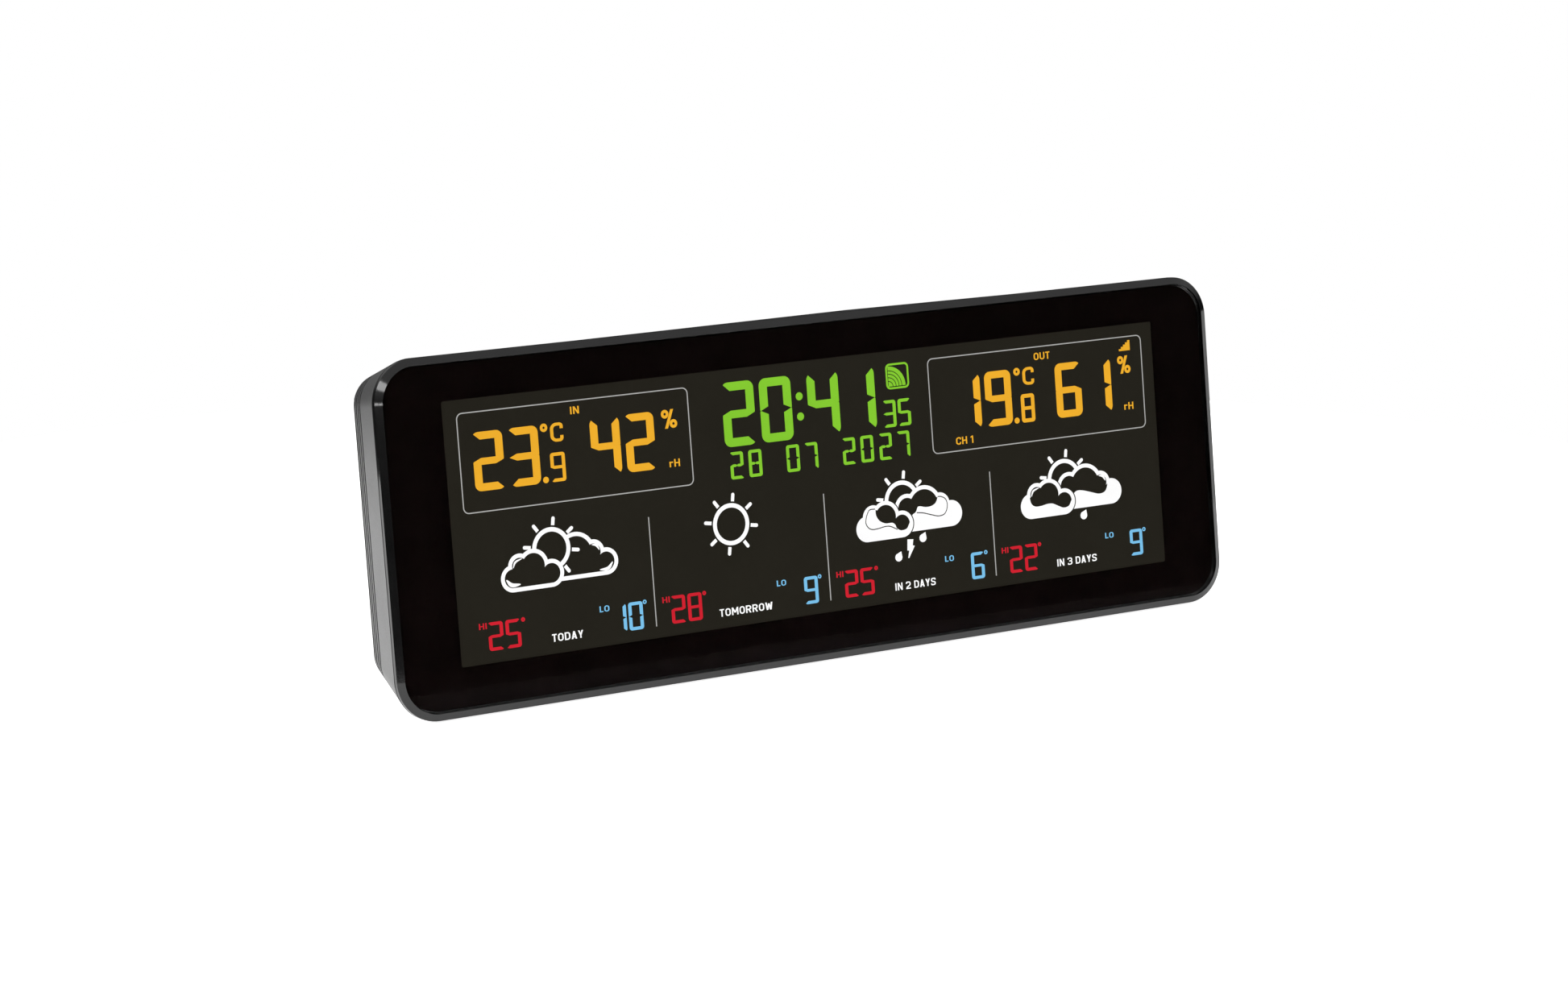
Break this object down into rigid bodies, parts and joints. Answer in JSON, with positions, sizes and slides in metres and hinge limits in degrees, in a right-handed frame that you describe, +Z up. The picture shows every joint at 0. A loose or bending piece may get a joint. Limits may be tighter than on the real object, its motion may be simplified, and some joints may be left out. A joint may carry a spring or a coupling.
{
  "type": "home weather station",
  "caption": "Slim wide desk weather station with a glossy black front, segment display, ribbed grey rear case, top key, rear keys and fold-out foot.",
  "frame": {"origin": "middle of the base, on the surface that the feet stand on", "axes": "+X to the right of the display, -Y out of the display towards the reader, +Z up"},
  "size_m": [0.208, 0.0468, 0.0733],
  "materials": {
    "black_gloss": "high gloss",
    "clear_window": "clear, polished",
    "black_ink": "printed black",
    "display_glass": "liquid crystal glass, dark",
    "colour_film": "translucent tinted film",
    "clear_acrylic": "moulded light guide",
    "white_plastic": "white moulded",
    "grey_case": "satin grey, fine texture",
    "key_plastic": "satin grey",
    "circuit_board": "solder mask",
    "chip_resin": "moulded resin",
    "steel": "plated",
    "plated_contact": "plated spring metal",
    "black_rubber": "matte",
    "led_resin": "phosphor resin"
  },
  "bodies": {
    "housing": {"bezel_frame": "black_gloss", "front_window": "clear_window", "window_mask": "black_ink", "lcd_panel": "display_glass", "colour_film": "colour_film", "light_guide": "clear_acrylic", "reflector_sheet": "white_plastic", "lcd_tray": "white_plastic", "led_board": "circuit_board", "contact_strip": "black_rubber", "rear_case": "grey_case", "main_board": "circuit_board", "processor_chip": "chip_resin", "memory_chip": "chip_resin", "clock_crystal": "steel", "wifi_board": "circuit_board", "wifi_shield": "steel", "radio_board": "circuit_board", "radio_antenna": "steel", "buzzer": "chip_resin", "sensor_board": "circuit_board", "room_sensor": "chip_resin", "power_jack": "chip_resin", "coin_cell": "steel", "cell_contact_minus": "plated_contact", "cell_contact_plus": "plated_contact", "snooze_switch": "chip_resin", "foot_pin": "steel", "front_foot_left": "black_rubber", "front_foot_right": "black_rubber", "backlight_led_1": "led_resin", "backlight_led_2": "led_resin", "backlight_led_3": "led_resin", "backlight_led_4": "led_resin", "switch_alarm": "chip_resin", "switch_channel": "chip_resin", "switch_memory": "chip_resin", "switch_up": "chip_resin", "switch_down": "chip_resin", "switch_radio": "chip_resin", "board_screw_left_lower": "steel", "case_screw_left_lower": "steel", "board_screw_left_upper": "steel", "case_screw_left_upper": "steel", "board_screw_right_lower": "steel", "case_screw_right_lower": "steel", "board_screw_right_upper": "steel", "case_screw_right_upper": "steel"},
    "snooze_key": {"snooze_key": "key_plastic"},
    "battery_door": {"battery_door": "grey_case"},
    "stand_foot": {"stand_foot": "grey_case", "foot_pad_left": "black_rubber", "foot_pad_right": "black_rubber"},
    "key_alarm": {"key_alarm": "key_plastic"},
    "key_channel": {"key_channel": "key_plastic"},
    "key_memory": {"key_memory": "key_plastic"},
    "key_up": {"key_up": "key_plastic"},
    "key_down": {"key_down": "key_plastic"},
    "key_radio": {"key_radio": "key_plastic"}
  },
  "joints": [
    {"name": "snooze_press", "type": "slide", "parent": "housing", "child": "snooze_key", "axis": [0, -0.3504, -0.9366], "range_m": [0, 0.0006], "stiffness_N_per_m": 400, "springref_m": -0.0005},
    {"name": "key_alarm_press", "type": "slide", "parent": "housing", "child": "key_alarm", "axis": [0, -0.991, 0.134], "range_m": [0, 0.0005], "stiffness_N_per_m": 400, "springref_m": -0.0005},
    {"name": "key_channel_press", "type": "slide", "parent": "housing", "child": "key_channel", "axis": [0, -0.991, 0.134], "range_m": [0, 0.0005], "stiffness_N_per_m": 400, "springref_m": -0.0005},
    {"name": "key_memory_press", "type": "slide", "parent": "housing", "child": "key_memory", "axis": [0, -0.991, 0.134], "range_m": [0, 0.0005], "stiffness_N_per_m": 400, "springref_m": -0.0005},
    {"name": "key_up_press", "type": "slide", "parent": "housing", "child": "key_up", "axis": [0, -0.991, 0.134], "range_m": [0, 0.0005], "stiffness_N_per_m": 400, "springref_m": -0.0005},
    {"name": "key_down_press", "type": "slide", "parent": "housing", "child": "key_down", "axis": [0, -0.991, 0.134], "range_m": [0, 0.0005], "stiffness_N_per_m": 400, "springref_m": -0.0005},
    {"name": "key_radio_press", "type": "slide", "parent": "housing", "child": "key_radio", "axis": [0, -0.991, 0.134], "range_m": [0, 0.0005], "stiffness_N_per_m": 400, "springref_m": -0.0005},
    {"name": "battery_door_turn", "type": "hinge", "parent": "housing", "child": "battery_door", "pos_m": [0.062, -0.01881, 0.036], "axis": [0, 0.991, -0.134], "range_deg": [0, 40]},
    {"name": "foot_fold", "type": "hinge", "parent": "housing", "child": "stand_foot", "pos_m": [0, -0.00577, 0.01002], "axis": [1, 0, 0], "range_deg": [0, 98.08]}
  ]
}
